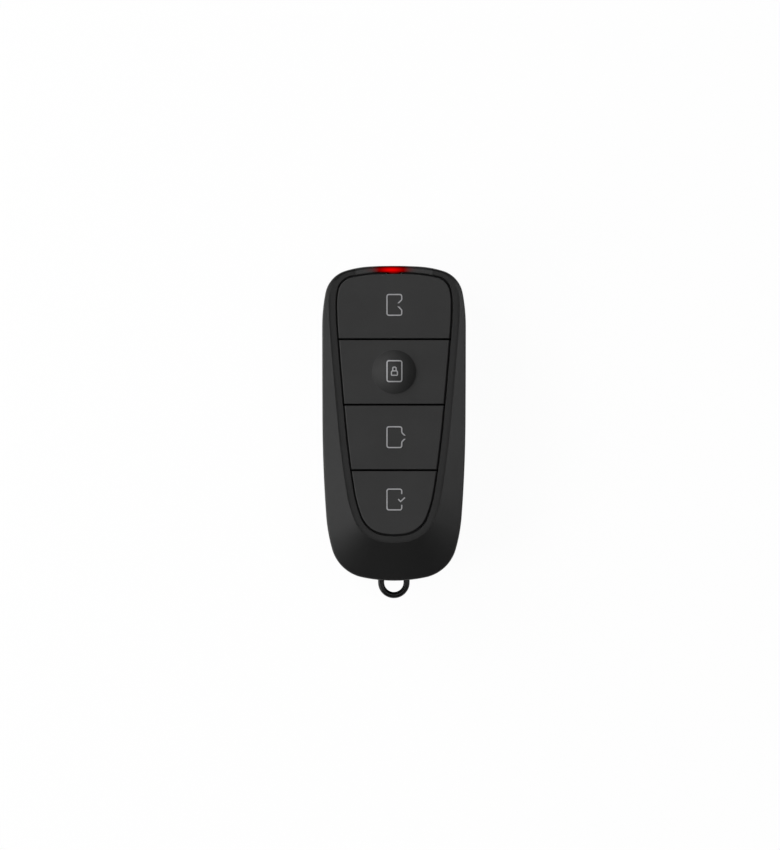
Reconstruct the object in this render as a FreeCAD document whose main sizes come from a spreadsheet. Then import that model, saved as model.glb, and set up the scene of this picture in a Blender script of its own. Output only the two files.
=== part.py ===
import FreeCAD, Part

import math
import os

import Sketcher
from FreeCAD import Vector

# Four-key remote control fob for a turnstile. Millimetres.
# The fob lies on its flat back with the keys up (+Z). The signal lamp end points to +Y and
# the keyring loop to -Y. The origin is under the middle of the whole length, at the back face.

doc = FreeCAD.newDocument("turnstile_remote")
sheet = doc.addObject("Spreadsheet::Sheet", "Sizes")

SIZES = [
    # case outline: widths and lengths of its two ends, heading turns and bend radii
    ("case_half_width", 16.52, "half of the case's greatest width"),
    ("case_upper_length", 13.96, "lamp end to the widest place"),
    ("case_lower_length", 58.53, "widest place to the loop end"),
    ("case_brow_radius", 23.3, "first bend of the lamp end's corners"),
    ("case_shoulder_radius", 6.55, "tight bend of the lamp end's corners"),
    ("case_hip_radius", 321.6, "gentle inward turn of the lower sides"),
    ("case_knee_radius", 37.8, "first bend of the loop end's corners"),
    ("case_foot_radius", 9.13, "tight bend of the loop end's corners"),
    # key field outline
    ("field_inset", 1.67, "case's lamp end to the key field's top"),
    ("field_side_inset", 3.25, "case's side to the key field's widest place"),
    ("field_end_inset", 10.54, "case's loop end to the key field's lower end"),
    ("field_upper_length", 6.95, "key field's top to its widest place"),
    ("field_shoulder_radius", 35.1, "first bend of the key field's upper corners"),
    ("field_corner_radius", 3.97, "tight bend of the key field's upper corners"),
    ("field_side_radius", 80.8, "bend where the sides begin to close in"),
    ("field_hip_radius", 223.0, "gentle inward turn of the lower sides"),
    ("field_knee_radius", 28.5, "first bend of the key field's lower corners"),
    ("field_foot_radius", 6.35, "tight bend of the key field's lower corners"),
    # heights of the case
    ("case_height", 11.8, "back face to the flat rim"),
    ("parting_height", 5.6, "back face to the joint between the shells"),
    ("wall", 1.2, "side walls"),
    ("floor", 1.3, "back wall"),
    ("deck", 1.4, "rim over the key flanges"),
    ("rim_width", 1.6, "key field's outline to the crease"),
    ("rim_end_inset", 0.5, "case's lamp end to the crease"),
    ("slope_angle", 22.0, "fall of the slopes outside the crease, in degrees"),
    ("back_round", 1.7, "rounding of the back's edge"),
    ("edge_round", 0.5, "rounding of the slopes' outer edge"),
    ("lip_round", 0.15, "rounding of the rim beside the keys"),
    ("crease_width", 0.42, "groove along the crease"),
    ("crease_depth", 0.35, "depth of that groove"),
    ("crease_fade", 5.0, "length over which the groove runs out"),
    ("crease_start", 4.6, "case's lamp end to where the groove has run out"),
    # tongue that locates the shells, and the two hooks on it
    ("tongue_height", 0.7, "tongue above the parting plane"),
    ("tongue_thickness", 0.55, "thickness of the tongue"),
    ("tongue_gap", 0.05, "clearance round the tongue"),
    ("hook_inset", 14.3, "case's lamp end to the hooks"),
    ("hook_half_width", 1.5, "half of a hook's width"),
    ("hook_reach", 0.2, "how far a hook stands out"),
    ("seam_depth", 0.25, "shadow groove at the parting plane"),
    ("seam_height", 0.3, "height of that groove"),
    # keys
    ("field_gap", 0.40, "gap between the rim and the keys"),
    ("key_gap", 0.46, "gap from key to key"),
    ("key_shift", 0.14, "gaps between keys below an even division of the field"),
    ("key_rise", 0.12, "keys above the rim"),
    ("key_round", 0.15, "rounding of the keys' edges"),
    ("flange_width", 0.7, "key flange beyond the key field's outline"),
    ("flange_thickness", 0.75, "key flange"),
    ("flange_gap", 0.1, "clearance between flange and deck"),
    ("key_travel", 0.3, "stroke of a key"),
    ("dome_radius", 5.1, "raised dome on the second key, in plan"),
    ("dome_height", 1.4, "raised dome above its key"),
    # sealing mat under the keys
    ("mat_margin", 1.2, "mat beyond the key field's outline"),
    ("mat_gap", 0.1, "clearance between the mat and the case wall"),
    ("mat_web", 0.6, "thickness of the mat"),
    ("mat_skirt", 0.8, "thickness of the skirt that stands on the board"),
    ("mat_boss_radius", 1.6, "boss over each switch"),
    ("rest_gap", 0.05, "clearance between pieces that meet when pressed"),
    # circuit board
    ("board_bottom", 5.3, "back face to the board"),
    ("board_thickness", 0.8, "board"),
    ("board_gap", 0.35, "clearance between the board and the case wall"),
    ("board_end", 4.9, "case's loop end to the board"),
    ("hole_gap", 0.2, "clearance round the bosses that pass the board"),
    # tactile switches
    ("switch_half", 2.6, "half of a switch's side"),
    ("switch_height", 1.3, "height of the switch base"),
    ("switch_floor", 0.3, "floor of the switch base"),
    ("switch_well", 1.75, "radius of the well in the base"),
    ("switch_cover", 0.2, "steel cover"),
    ("plunger_radius", 1.0, "stem of the plunger"),
    ("plunger_flange", 1.5, "foot of the plunger"),
    ("plunger_foot", 0.45, "height of the plunger's foot"),
    ("plunger_gap", 0.08, "clearance round the plunger"),
    ("plunger_height", 2.05, "board to the plunger's top"),
    ("snap_radius", 1.6, "snap dome in plan"),
    ("snap_height", 0.42, "height of the snap dome"),
    ("snap_thickness", 0.1, "snap dome"),
    # signal lamp and its light guide
    ("lamp_half_length", 0.8, "half of the lamp along X"),
    ("lamp_half_width", 0.4, "half of the lamp along Y"),
    ("lamp_height", 0.6, "lamp"),
    ("lamp_inset", 1.98, "case's lamp end to the lamp's middle"),
    ("guide_half_width", 8.9, "half of the light guide's width"),
    ("guide_depth", 2.8, "rim to the light guide's lower edge"),
    ("guide_gap", 0.04, "clearance round the light guide"),
    ("stalk_half_width", 1.5, "half of the stalk over the lamp"),
    ("stalk_thickness", 0.64, "stalk over the lamp"),
    ("stalk_top", 1.9, "rim to the stalk's top"),
    # coin cell, its holder and its contacts
    ("cell_radius", 10.0, "coin cell"),
    ("cell_height", 3.2, "coin cell"),
    ("cell_cap_radius", 8.8, "negative face of the cell"),
    ("cell_step", 0.3, "step between the cell's can and its negative face"),
    ("cell_inset", 39.21, "case's loop end to the middle of the cell"),
    ("contact_space", 0.3, "between the cell and the board"),
    ("holder_gap", 0.15, "clearance round the cell"),
    ("holder_thickness", 1.1, "wall of the holder"),
    ("holder_height", 2.6, "height of the holder"),
    ("holder_mouth", 7.0, "half of the holder's opening"),
    ("holder_mouth_start", 6.0, "middle of the cell to the near edge of that opening"),
    ("clip_thickness", 0.25, "sheet of the positive clip"),
    ("clip_half_width", 2.2, "half of the positive clip's width"),
    ("clip_gap", 0.1, "clearance between the clip and the holder"),
    ("leaf_half_width", 2.0, "half of the negative contact's width"),
    ("leaf_half_length", 3.4, "half of the negative contact's length"),
    ("leaf_thickness", 0.15, "sheet of the negative contact"),
    ("dimple_radius", 0.9, "dimple that touches the cell"),
    # electronics on the back of the board
    ("controller_half", 2.5, "half of the controller's side"),
    ("controller_height", 0.9, "controller"),
    ("radio_half", 2.0, "half of the radio chip's side"),
    ("radio_height", 0.85, "radio chip"),
    ("chip_x", 4.4, "chips from the middle plane"),
    ("chip_inset", 21.61, "case's loop end to the middle of the chips"),
    ("crystal_half_length", 1.6, "half of the crystal along X"),
    ("crystal_half_width", 1.25, "half of the crystal along Y"),
    ("crystal_height", 0.8, "crystal"),
    ("crystal_inset", 15.81, "case's loop end to the crystal"),
    ("small_half_length", 0.5, "half of a small part along X"),
    ("small_half_width", 0.25, "half of a small part along Y"),
    ("small_height", 0.4, "small part"),
    ("small_pitch", 1.6, "from one small part to the next"),
    ("small_count", 8, "small parts in the row"),
    ("small_inset", 12.01, "case's loop end to the row of small parts"),
    ("aerial_inset", 2.3, "case wall's outside to the aerial strip"),
    ("aerial_width", 0.8, "aerial strip"),
    ("aerial_height", 0.4, "aerial strip"),
    ("aerial_from_end", 34.71, "case's loop end to the ends of the aerial strip"),
    # screws
    ("screw_radius", 0.95, "thread of a case screw"),
    ("screw_head_radius", 1.55, "head of a case screw"),
    ("screw_head_height", 0.9, "head of a case screw"),
    ("screw_sink", 0.3, "head below the back face"),
    ("screw_length", 7.4, "case screw with its head"),
    ("screw_slot", 0.32, "width of the cross recess"),
    ("screw_gap", 0.05, "clearance round a screw"),
    ("post_radius", 1.9, "posts of the back shell"),
    ("boss_radius", 1.65, "bosses of the top shell"),
    ("side_screw_side", 3.8, "case's side to the side screws"),
    ("side_screw_inset", 22.91, "case's loop end to the side screws"),
    ("end_screw_side", 7.6, "case's side to the end screws"),
    ("end_screw_inset", 7.21, "case's loop end to the end screws"),
    ("board_screw_side", 4.8, "case's side to the board screws"),
    ("board_screw_inset", 14.81, "case's loop end to the board screws"),
    ("board_screw_radius", 0.7, "thread of a board screw"),
    ("board_screw_head", 1.4, "head of a board screw"),
    ("board_screw_head_height", 0.7, "head of a board screw"),
    ("board_screw_length", 4.0, "board screw with its head"),
    ("board_boss_radius", 1.45, "bosses that carry the board"),
    # keyring loop
    ("loop_reach", 4.06, "loop beyond the case"),
    ("loop_wire_radius", 0.72, "wire of the loop"),
    ("loop_radius", 2.93, "bend of the loop at the wire's middle"),
    ("loop_leg", 2.2, "legs inside the case"),
    ("loop_bend", 1.1, "bend from leg to foot"),
    ("loop_foot", 0.9, "straight part of each foot"),
    ("loop_gap", 0.04, "clearance round the wire"),
    ("anchor_half_width", 6.9, "half of the block round the loop's feet"),
    ("anchor_depth", 4.5, "depth of that block from the case's loop end"),
]


def fill_sheet(sizes, first_row):
    for row, (alias, number, meaning) in enumerate(sizes, start=first_row):
        sheet.set(f"A{row}", meaning)
        sheet.set(f"B{row}", str(number))
        sheet.setAlias(f"B{row}", alias)
    doc.recompute()


fill_sheet(SIZES, 1)


class Named:
    """The sheet's values by name."""

    def __getattr__(self, alias):
        return float(sheet.get(alias))


s = Named()
nodes = []
tiny = 1e-3


# Outlines: chains of tangent arcs, told by heading (0 at the lamp end, 90 at the widest
# place, 180 at the loop end) and mirrored about the middle plane

def bends(headings, radii, width, length):
    """Arc radii of a quarter outline; the two given as None follow from its width and length."""
    spans = []
    for start, end in zip(headings, headings[1:]):
        a, b = math.radians(start), math.radians(end)
        spans.append((abs(math.sin(b) - math.sin(a)), math.cos(a) - math.cos(b)))
    known = [radius or 0.0 for radius in radii]
    rest_width = width - sum(radius * span[0] for radius, span in zip(known, spans))
    rest_length = length - sum(radius * span[1] for radius, span in zip(known, spans))
    first, last = [n for n, radius in enumerate(radii) if radius is None]
    (a, c), (b, d) = spans[first], spans[last]
    scale = a * d - b * c
    known[first] = (rest_width * d - rest_length * b) / scale
    known[last] = (rest_length * a - rest_width * c) / scale
    return [(radius, *pair) for radius, pair in zip(known, zip(headings, headings[1:]))]


def on_arc(centre, radius, heading):
    turn = math.radians(heading)
    return centre + Vector(radius * math.sin(turn), radius * math.cos(turn), 0)


def outline(arcs, top, offset=0.0, height=0.0):
    """Closed wire of a mirrored outline whose lamp end is at y = top, grown by offset."""
    edges = []
    point = Vector(0, top, height)
    for radius, start, end in arcs:
        centre = point - on_arc(Vector(), radius, start)
        point = on_arc(centre, radius, end)
        grown = [on_arc(centre, radius + offset, a) for a in (start, (start + end) / 2, end)]
        edges.append(Part.Arc(*grown).toShape())
    mirrored = [edge.mirror(Vector(), Vector(1, 0, 0)) for edge in reversed(edges)]
    return Part.Wire(Part.__sortEdges__(edges + mirrored))


def prism(arcs, top, offset, low, high):
    return Part.Face(outline(arcs, top, offset, low)).extrude(Vector(0, 0, high - low))


case_length = s.case_upper_length + s.case_lower_length
case_top = (case_length + s.loop_reach) / 2
case_end = case_top - case_length
case_arcs = bends([0, 2.44, 17.41, 78.93, 90],
                  [None, s.case_brow_radius, s.case_shoulder_radius, None],
                  s.case_half_width, s.case_upper_length)
case_arcs += bends([90, 90.3, 94.26, 106.01, 167.91, 180],
                   [None, s.case_hip_radius, s.case_knee_radius, s.case_foot_radius, None],
                   s.case_half_width, s.case_lower_length)

field_top = case_top - s.field_inset
field_end = case_end + s.field_end_inset
field_half_width = s.case_half_width - s.field_side_inset
field_lower = bends([90, 94.4, 95.5, 99.3, 111.8, 168, 180],
                    [s.field_side_radius, None, s.field_hip_radius, s.field_knee_radius,
                     s.field_foot_radius, None],
                    field_half_width, field_top - field_end - s.field_upper_length)
field_arcs = bends([0, 2.3, 12.5, 77.2, 90],
                   [None, s.field_shoulder_radius, s.field_corner_radius, None],
                   field_half_width, s.field_upper_length) + field_lower

# The crease runs beside the key field, but keeps inside the case's lamp end
crease_top = case_top - s.rim_end_inset
crease_arcs = bends([0, 2.3, 12.5, 77.2, 90],
                    [None, s.field_shoulder_radius + s.rim_width,
                     s.field_corner_radius + s.rim_width, None],
                    field_half_width + s.rim_width,
                    s.field_upper_length + s.field_inset - s.rim_end_inset)
crease_arcs += [(radius + s.rim_width, a, b) for radius, a, b in field_lower]


def plateau(height):
    """Flat rim at the given height with the slopes falling away from the crease all round."""
    spread = height / math.tan(math.radians(s.slope_angle))
    low = outline(crease_arcs, crease_top, spread, 0)
    high = outline(crease_arcs, crease_top, 0, height)
    sides = [Part.makeRuledSurface(a, b) for a, b in zip(low.Edges, high.Edges)]
    return Part.Solid(Part.makeShell([*sides, Part.Face(low), Part.Face(high)]))


def box(x, y, z):
    """Block between pairs of coordinates."""
    corner = Vector(x[0], y[0], z[0])
    return Part.makeBox(x[1] - x[0], y[1] - y[0], z[1] - z[0], corner)


def post(x, y, radius, low, high):
    return Part.makeCylinder(radius, high - low, Vector(x, y, low))


def edges_between(shape, low, high):
    """Edges that lie wholly between two heights."""
    return [e for e in shape.Edges if e.BoundBox.ZMin > low and e.BoundBox.ZMax < high]


def edges_on(shape, wire):
    """Edges whose middle lies on a wire."""
    found = []
    for edge in shape.Edges:
        middle = edge.valueAt((edge.FirstParameter + edge.LastParameter) / 2)
        if Part.Vertex(middle).distToShape(wire)[0] < tiny:
            found.append(edge)
    return found


def feature(name, shape):
    """Sub-part whose curved outline is worked out above."""
    made = doc.addObject("Part::Feature", name)
    made.Label = name
    made.Shape = shape
    nodes.append(made)
    return made


# Sub-parts drawn as sketches: every corner is a sum of named sizes

def amount(text):
    """Number meant by a sum such as "cell_radius + holder_gap"."""
    total, sign = 0.0, 1
    for word in text.split():
        if word in "+-":
            sign = 1 if word == "+" else -1
        else:
            total += sign * (float(word) if word[0].isdigit() else getattr(s, word))
    return total


def formula(text):
    """The same sum as an expression on the sheet."""
    words = [w if w in "+-" or w[0].isdigit() else "Sizes." + w for w in text.split()]
    return " ".join(words)


def body_of(name, x="0", y="0", z="0"):
    made = doc.addObject("PartDesign::Body", name)
    made.Label = name
    for axis, text in zip("xyz", (x, y, z)):
        made.setExpression("Placement.Base." + axis, formula(text))
    nodes.append(made)
    return made


def sketch_on(body, role):
    drawn = body.newObject("Sketcher::SketchObject", body.Name + "_sketch")
    plane = next(f for f in body.Origin.OriginFeatures if f.Role == role)
    drawn.AttachmentSupport = [(plane, "")]
    drawn.MapMode = "FlatFace"
    return drawn


def lift(drawn, text):
    """Raises a sketch above its plane."""
    drawn.setExpression("AttachmentOffset.Base.z", formula(text))
    return drawn


def polygon(drawn, corners):
    """Closed outline through corners given as pairs of sums."""
    points = [Vector(amount(x), amount(y), 0) for x, y in corners]
    for start, end in zip(points, points[1:] + points[:1]):
        drawn.addGeometry(Part.LineSegment(start, end), False)
    for n, (x, y) in enumerate(corners):
        before = (n - 1) % len(corners)
        drawn.addConstraint(Sketcher.Constraint("Coincident", before, 2, n, 1))
        for kind, text in (("DistanceX", x), ("DistanceY", y)):
            if text == "0":
                axis = -2 if kind == "DistanceX" else -1
                drawn.addConstraint(Sketcher.Constraint("PointOnObject", n, 1, axis))
            else:
                rule = Sketcher.Constraint(kind, -1, 1, n, 1, amount(text))
                drawn.setExpression(f"Constraints[{drawn.addConstraint(rule)}]", formula(text))
    return drawn


def rectangle(drawn, x, y):
    """Rectangle about the sketch's origin, from half its length and half its width."""
    return polygon(drawn, [(f"- {x}", f"- {y}"), (x, f"- {y}"), (x, y), (f"- {x}", y)])


def circle(drawn, radius):
    drawn.addGeometry(Part.Circle(Vector(), Vector(0, 0, 1), amount(radius)), False)
    drawn.addConstraint(Sketcher.Constraint("Coincident", 0, 3, -1, 1))
    rule = Sketcher.Constraint("Radius", 0, amount(radius))
    drawn.setExpression(f"Constraints[{drawn.addConstraint(rule)}]", formula(radius))
    return drawn


def pad(body, drawn, length, side="One side"):
    made = body.newObject("PartDesign::Pad", body.Name + "_pad")
    made.Profile = drawn
    made.setExpression("Length", formula(length))
    made.SideType = side
    return made


def pocket(body, drawn, depth):
    """Cut upwards from a sketch."""
    made = body.newObject("PartDesign::Pocket", body.Name + "_pocket")
    made.Profile = drawn
    made.setExpression("Length", formula(depth))
    made.Reversed = True
    return made


def turned(body, corners):
    """Solid of revolution about Z from corners (radius, height)."""
    drawn = polygon(sketch_on(body, "XZ_Plane"), corners)
    made = body.newObject("PartDesign::Revolution", body.Name + "_revolution")
    made.Profile = drawn
    made.ReferenceAxis = (drawn, ["V_Axis"])
    made.Angle = 360
    return made


# Heights and places that several sub-parts share

rim = s.case_height
deck_bottom = rim - s.deck
key_top = rim + s.key_rise
key_bottom = deck_bottom - s.flange_gap - s.flange_thickness
mat_top = key_bottom - s.rest_gap
mat_bottom = mat_top - s.mat_web
board_top = s.board_bottom + s.board_thickness
half_gap = s.field_gap / 2
board_edge = -(s.wall + s.board_gap)
key_names = ["entry", "lock", "exit", "confirm"]
key_pitch = (field_top - field_end) / 4
key_gaps = [field_top - s.key_shift - n * key_pitch for n in (1, 2, 3)]
key_ends = [field_top, *key_gaps, field_end]
key_middles = [(high + low) / 2 for high, low in zip(key_ends, key_ends[1:])]
far = case_length
sides = (-1, 1)
side_screw_x = s.case_half_width - s.side_screw_side
side_screw_y = case_end + s.side_screw_inset
end_screw_x = s.case_half_width - s.end_screw_side
end_screw_y = case_end + s.end_screw_inset
board_screw_x = s.case_half_width - s.board_screw_side
board_screw_y = case_end + s.board_screw_inset
case_screw_places = [(side * side_screw_x, side_screw_y) for side in sides]
case_screw_places += [(side * end_screw_x, end_screw_y) for side in sides]
board_screw_places = [(side * board_screw_x, board_screw_y) for side in sides]
screw_tip = s.screw_sink + s.screw_length
board_screw_tip = s.board_bottom - s.board_screw_head_height + s.board_screw_length

# Places that follow from the sizes go to the sheet too, for the sketched sub-parts
places = [(f"middle_{name}", middle, f"middle of the {name} key")
          for name, middle in zip(key_names, key_middles)]
places += [("lamp_y", case_top - s.lamp_inset, "middle of the signal lamp"),
           ("cell_y", case_end + s.cell_inset, "middle of the coin cell"),
           ("chip_y", case_end + s.chip_inset, "middle of the chips"),
           ("crystal_y", case_end + s.crystal_inset, "middle of the crystal")]
fill_sheet(places, len(SIZES) + 1)

# Case: one closed form, rounded, then parted

case_form = prism(case_arcs, case_top, 0, 0, rim + 1).common(plateau(rim))
outer_edges = edges_between(case_form, s.parting_height, rim - tiny)
case_form = case_form.makeFillet(s.edge_round, outer_edges)
case_form = case_form.makeFillet(s.back_round, edges_between(case_form, -tiny, tiny))

# Keyring loop: wire bent to a bow with two legs and out-turned feet, held between the shells

loop_middle = case_end - s.loop_reach + s.loop_radius + s.loop_wire_radius
leg_end = case_end + s.loop_leg


def loop_path():
    r, b = s.loop_radius, s.loop_bend
    foot = leg_end + b
    diagonal = b * math.sqrt(0.5)

    def at(x, y):
        return Vector(x, y, s.parting_height)

    half = [
        Part.makeLine(at(r + b + s.loop_foot, foot), at(r + b, foot)),
        Part.Arc(at(r + b, foot), at(r + b - diagonal, leg_end + diagonal), at(r, leg_end)).toShape(),
        Part.makeLine(at(r, leg_end), at(r, loop_middle)),
    ]
    bow = Part.Arc(at(r, loop_middle), at(0, loop_middle - r), at(-r, loop_middle)).toShape()
    other = [edge.mirror(Vector(), Vector(1, 0, 0)) for edge in half]
    return Part.Wire(Part.__sortEdges__([*half, bow, *other]))


def wire_along(path, radius):
    start = path.OrderedVertexes[0].Point
    ring = Part.Wire(Part.makeCircle(radius, start, Vector(1, 0, 0)))
    return path.makePipeShell([ring], True, False)


loop_wire = wire_along(loop_path(), s.loop_wire_radius)
loop_channel = wire_along(loop_path(), s.loop_wire_radius + s.loop_gap)
anchor = box((-s.anchor_half_width, s.anchor_half_width),
             (case_end - 1, case_end + s.anchor_depth), (0, rim))
tongue_top = s.parting_height + s.tongue_height

# Top shell

upper_half = box((-far, far), (-far, far), (s.parting_height, rim + 1))
hollow = prism(case_arcs, case_top, -s.wall, s.parting_height, deck_bottom)
hollow = hollow.common(plateau(deck_bottom)).cut(anchor)
rebate = prism(case_arcs, case_top, s.tongue_thickness + s.tongue_gap - s.wall,
               s.parting_height, tongue_top + s.tongue_gap).cut(anchor)
opening = prism(field_arcs, field_top, half_gap, mat_bottom, rim + 1)
upper = case_form.common(upper_half).cut(opening)
lip = edges_on(upper, outline(field_arcs, field_top, half_gap, rim))
upper = upper.makeFillet(s.lip_round, lip)

groove = prism(crease_arcs, crease_top, s.crease_width / 2, rim - 1, rim + 1)
groove = groove.cut(prism(crease_arcs, crease_top, -s.crease_width / 2, rim - 2, rim + 2))
fade_end = case_top - s.crease_start
ramp = [(-far, rim - s.crease_depth), (fade_end - s.crease_fade, rim - s.crease_depth),
        (fade_end, rim), (fade_end, rim + 1), (-far, rim + 1)]
wedge = Part.makePolygon([Vector(-far, y, z) for y, z in ramp + ramp[:1]])
upper = upper.cut(groove.common(Part.Face(wedge).extrude(Vector(2 * far, 0, 0))))
seam = box((-far, far), (-far, far), (s.parting_height, s.parting_height + s.seam_height))
seam = seam.cut(prism(case_arcs, case_top, -s.seam_depth, 0, rim))
upper = upper.cut(hollow).cut(rebate).cut(seam)

backing = plateau(rim - s.deck / 2)
for x, y in case_screw_places:
    upper = upper.fuse(post(x, y, s.boss_radius, s.parting_height, rim).common(backing))
    upper = upper.cut(post(x, y, s.screw_radius + s.screw_gap, 0, screw_tip + s.screw_gap))
for x, y in board_screw_places:
    upper = upper.fuse(post(x, y, s.board_boss_radius, board_top, rim).common(backing))
    pilot = s.board_screw_radius + s.screw_gap
    upper = upper.cut(post(x, y, pilot, 0, board_screw_tip + s.screw_gap))


hook_y = case_top - s.hook_inset


def hook(side, gap):
    """Block beside the tongue; gap makes the pocket that takes it."""
    reach = prism(case_arcs, case_top, s.tongue_thickness + s.hook_reach + gap - s.wall,
                  s.parting_height, tongue_top + gap)
    inner = side * (s.case_half_width - s.wall + s.tongue_thickness / 2)
    block = box(sorted((inner, side * far)),
                (hook_y - s.hook_half_width - gap, hook_y + s.hook_half_width + gap),
                (s.parting_height + s.seam_height - gap, tongue_top + gap))
    return reach.common(block)


for side in sides:
    upper = upper.cut(hook(side, s.tongue_gap))
upper = upper.cut(loop_channel)

# Light guide: the lamp end of the rim, made as a clear piece with a stalk over the lamp

window_low = rim - s.guide_depth
inside_y = field_top - s.rim_width


def window(gap):
    half = s.guide_half_width - gap
    return box((-half, half), (inside_y, case_top + 1), (window_low + gap, rim + 1))


guide = upper.common(window(s.guide_gap))
upper = upper.cut(window(0))
inner_wall = case_top - s.wall
stalk_low = board_top + s.lamp_height + s.guide_gap * 2
stalk_x = (-s.stalk_half_width, s.stalk_half_width)
stalk_front = inner_wall - s.stalk_thickness
stalk_high = rim - s.stalk_top
stalk = box(stalk_x, (stalk_front, inner_wall - s.guide_gap), (stalk_low, stalk_high))
bridge = box(stalk_x, (stalk_front, inner_wall + s.wall / 2),
             (window_low + s.guide_gap, stalk_high))
guide = guide.fuse([stalk, bridge])
feature("light_guide", guide.removeSplitter())
feature("top_shell", upper.removeSplitter())

# Back shell

lower_half = box((-far, far), (-far, far), (-1, s.parting_height))
lower = case_form.common(lower_half)
lower = lower.cut(prism(case_arcs, case_top, -s.wall, s.floor, rim).cut(anchor))
tongue = prism(case_arcs, case_top, s.tongue_thickness - s.wall, s.floor, tongue_top)
tongue = tongue.cut(prism(case_arcs, case_top, -s.wall, 0, rim))
breech = s.anchor_half_width + s.hole_gap
tongue = tongue.cut(box((-breech, breech), (case_end - 1, case_end + s.anchor_depth),
                        (s.parting_height, rim)))
lower = lower.fuse(tongue)
for side in sides:
    lower = lower.fuse(hook(side, 0))
sink_radius = s.screw_head_radius + s.screw_gap
neck = s.screw_radius + s.screw_gap
for x, y in case_screw_places:
    lower = lower.fuse(post(x, y, s.post_radius, s.floor / 2, s.parting_height))
    place = Vector(x, y, s.screw_sink)
    cone = Part.makeCone(sink_radius, neck, s.screw_head_height, place)
    lower = lower.cut(post(x, y, sink_radius, -1, s.screw_sink)).cut(cone)
    lower = lower.cut(post(x, y, neck, 0, s.parting_height + 1))
lower = lower.cut(loop_channel)
feature("rear_shell", lower.removeSplitter())
feature("keyring_loop", loop_wire)

# Keys: caps that fill the field, with flanges under the deck on their outer sides

caps = prism(field_arcs, field_top, -half_gap, key_bottom, key_top)
flanges = prism(field_arcs, field_top, s.flange_width, key_bottom,
                key_bottom + s.flange_thickness)
flanges = flanges.common(prism(case_arcs, case_top, -(s.wall + s.hole_gap), 0, rim))
relief = s.stalk_half_width + s.field_gap
flanges = flanges.cut(box((-relief, relief), (field_top - half_gap, case_top), (0, rim)))
for n, name in enumerate(key_names):
    high = key_ends[n] - s.key_gap / 2 if n else far
    low = key_ends[n + 1] + s.key_gap / 2 if n < 3 else -far
    strip = box((-far, far), (low, high), (0, rim + 2))
    cap = caps.common(strip)
    cap = cap.makeFillet(s.key_round, edges_between(cap, key_top - tiny, key_top + tiny))
    if name == "lock":
        ball = (s.dome_radius ** 2 + s.dome_height ** 2) / (2 * s.dome_height)
        dome = Part.makeSphere(ball, Vector(0, key_middles[n], key_top + s.dome_height - ball))
        above = box((-far, far), (-far, far), (key_top - s.key_rise, key_top + ball))
        reach = post(0, key_middles[n], s.dome_radius, key_top - s.key_rise, key_top + ball)
        cap = cap.fuse(dome.common(above).common(reach))
    feature("key_" + name, cap.fuse(flanges.common(strip)).removeSplitter())

# Sealing mat: sheet under the keys, with a skirt on the board and a boss over each switch

def mat_form(inset, low, high):
    form = prism(field_arcs, field_top, s.mat_margin - inset, low, high)
    edge = prism(case_arcs, case_top, -(s.wall + s.mat_gap + inset), low, high)
    half = s.stalk_half_width + s.field_gap + inset
    notch = case_top - s.lamp_inset - s.lamp_half_width - s.hole_gap - inset
    return form.common(edge).cut(box((-half, half), (notch, case_top), (low - 1, high + 1)))


mat = mat_form(0, board_top, mat_top).cut(mat_form(s.mat_skirt, board_top, mat_bottom))
boss_low = board_top + s.plunger_height + s.rest_gap
for y in key_middles:
    mat = mat.fuse(post(0, y, s.mat_boss_radius, boss_low, mat_bottom + s.mat_web / 2))
feature("keypad_membrane", mat.removeSplitter())

# Circuit board, notched round the posts, with the aerial strip on its back

board = prism(case_arcs, case_top, board_edge, s.board_bottom, board_top)
board = board.cut(box((-far, far), (-far, case_end + s.board_end), (0, rim)))
notch_radius = s.post_radius + s.hole_gap
for x, y in case_screw_places:
    board = board.cut(post(x, y, notch_radius, 0, rim))
for side in sides:
    across = sorted((side * side_screw_x, side * far))
    board = board.cut(box(across, (side_screw_y - notch_radius, side_screw_y + notch_radius),
                          (0, rim)))
    middle = side * end_screw_x
    board = board.cut(box((middle - notch_radius, middle + notch_radius), (-far, end_screw_y),
                          (0, rim)))
for x, y in board_screw_places:
    board = board.cut(post(x, y, s.board_screw_radius + s.screw_gap, 0, rim))
feature("circuit_board", board)

aerial_low = s.board_bottom - s.aerial_height
aerial = prism(case_arcs, case_top, -s.aerial_inset, aerial_low, s.board_bottom)
aerial = aerial.cut(prism(case_arcs, case_top, -(s.aerial_inset + s.aerial_width), 0, rim))
aerial = aerial.common(box((-far, far), (case_end + s.aerial_from_end, far), (0, rim)))
feature("aerial_strip", aerial)

# Tactile switches, one under each key

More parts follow.
